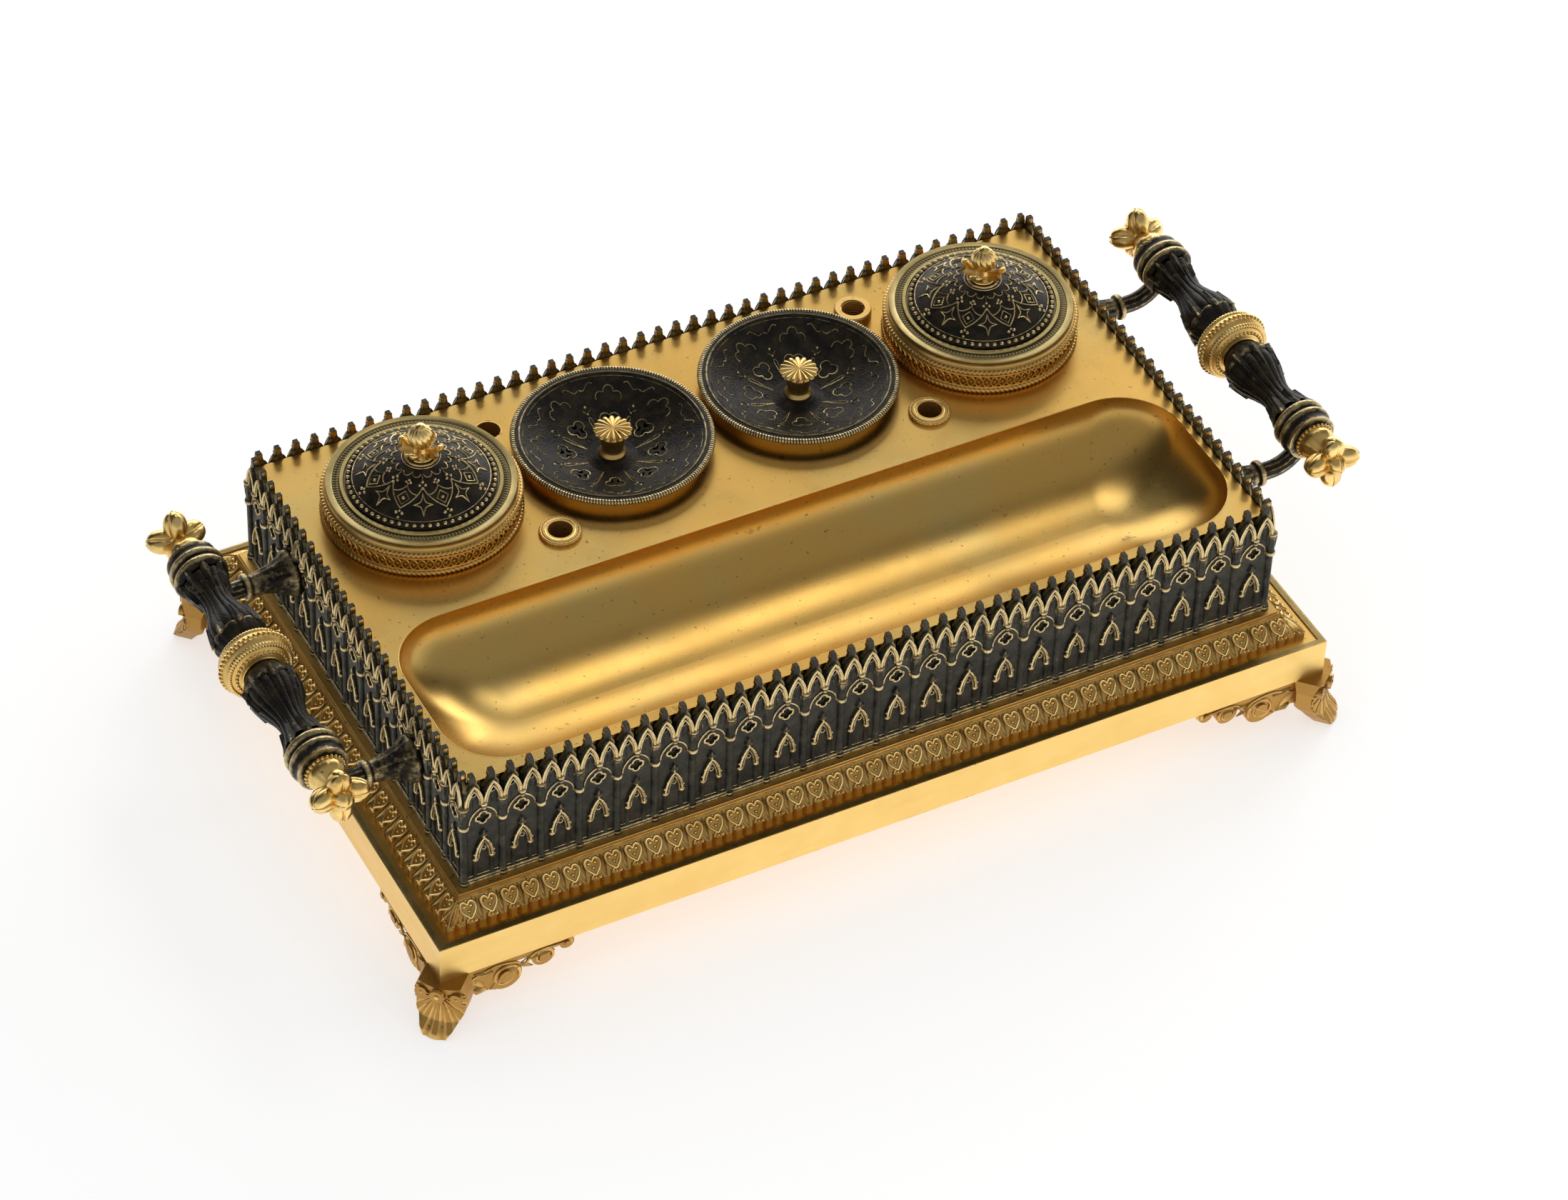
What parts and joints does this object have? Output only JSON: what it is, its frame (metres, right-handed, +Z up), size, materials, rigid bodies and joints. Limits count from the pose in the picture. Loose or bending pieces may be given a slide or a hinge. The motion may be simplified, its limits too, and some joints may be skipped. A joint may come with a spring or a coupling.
{
  "type": "desk inkstand",
  "caption": "Gothic-revival bronze inkstand: pen trough, lidded ink, pounce and wafer pots, quill holes, tracery gallery and two bar handles on shell feet.",
  "frame": {"origin": "on the ground under the middle of the plinth", "axes": "+X along the stand to its right, +Y to the back, +Z up; the pen trough is at the front"},
  "size_m": [0.392, 0.2168, 0.1224],
  "materials": {
    "gilt_bronze": "matt and burnished mercury gilding on cast bronze",
    "satin_brass": "satin lacquered brass with small dark spots",
    "dark_bronze": "dark brown patina, rubbed to metal on the high points",
    "steel": "plain steel",
    "glass": "clear moulded glass"
  },
  "bodies": {
    "stand": {"plinth_band": "gilt_bronze", "deck_plate": "satin_brass", "foot_front_left": "gilt_bronze", "foot_front_right": "gilt_bronze", "foot_back_left": "gilt_bronze", "foot_back_right": "gilt_bronze", "deck_screws": "steel", "frieze_front": "gilt_bronze", "frieze_back": "gilt_bronze", "frieze_left": "gilt_bronze", "frieze_right": "gilt_bronze", "gallery_seat": "gilt_bronze", "gallery_front": "dark_bronze", "gallery_back": "dark_bronze", "gallery_left": "dark_bronze", "gallery_right": "dark_bronze", "corner_posts": "satin_brass", "top_plate": "satin_brass", "ink_collar_left": "gilt_bronze", "pounce_collar": "gilt_bronze", "wafer_collar": "gilt_bronze", "ink_collar_right": "gilt_bronze", "quill_socket_front_left": "gilt_bronze", "quill_socket_front_right": "gilt_bronze", "quill_sleeve_back_left": "gilt_bronze", "quill_tube_back_right": "gilt_bronze", "arm_nuts": "steel", "handle_rod_left": "steel", "handle_ring_left": "gilt_bronze", "handle_bar_front_left": "dark_bronze", "handle_bar_back_left": "dark_bronze", "handle_finial_front_left": "gilt_bronze", "handle_finial_back_left": "gilt_bronze", "handle_arm_front_left": "dark_bronze", "handle_arm_back_left": "dark_bronze", "handle_rod_right": "steel", "handle_ring_right": "gilt_bronze", "handle_bar_front_right": "dark_bronze", "handle_bar_back_right": "dark_bronze", "handle_finial_front_right": "gilt_bronze", "handle_finial_back_right": "gilt_bronze", "handle_arm_front_right": "dark_bronze", "handle_arm_back_right": "dark_bronze"},
    "ink_pot_left": {"ink_pot_left": "glass"},
    "ink_lid_left": {"ink_lid_drum_left": "satin_brass", "ink_lid_medallion_left": "dark_bronze", "ink_lid_finial_left": "gilt_bronze", "ink_lid_nut_left": "steel"},
    "ink_pot_right": {"ink_pot_right": "glass"},
    "ink_lid_right": {"ink_lid_drum_right": "satin_brass", "ink_lid_medallion_right": "dark_bronze", "ink_lid_finial_right": "gilt_bronze", "ink_lid_nut_right": "steel"},
    "pounce_pot": {"pounce_pot": "satin_brass"},
    "wafer_pot": {"wafer_pot": "satin_brass"},
    "pounce_lid": {"pounce_dish": "dark_bronze", "pounce_knob": "gilt_bronze"},
    "wafer_lid": {"wafer_dish": "dark_bronze", "wafer_knob": "gilt_bronze"}
  },
  "joints": [
    {"name": "ink_pot_left_lift", "type": "slide", "parent": "stand", "child": "ink_pot_left", "axis": [0, 0, 1], "range_m": [0, 0.06]},
    {"name": "ink_lid_left_lift", "type": "slide", "parent": "ink_pot_left", "child": "ink_lid_left", "axis": [0, 0, 1], "range_m": [0, 0.04]},
    {"name": "pounce_pot_lift", "type": "slide", "parent": "stand", "child": "pounce_pot", "axis": [0, 0, 1], "range_m": [0, 0.06]},
    {"name": "pounce_lid_lift", "type": "slide", "parent": "pounce_pot", "child": "pounce_lid", "axis": [0, 0, 1], "range_m": [0, 0.04]},
    {"name": "wafer_pot_lift", "type": "slide", "parent": "stand", "child": "wafer_pot", "axis": [0, 0, 1], "range_m": [0, 0.06]},
    {"name": "wafer_lid_lift", "type": "slide", "parent": "wafer_pot", "child": "wafer_lid", "axis": [0, 0, 1], "range_m": [0, 0.04]},
    {"name": "ink_pot_right_lift", "type": "slide", "parent": "stand", "child": "ink_pot_right", "axis": [0, 0, 1], "range_m": [0, 0.06]},
    {"name": "ink_lid_right_lift", "type": "slide", "parent": "ink_pot_right", "child": "ink_lid_right", "axis": [0, 0, 1], "range_m": [0, 0.04]}
  ]
}
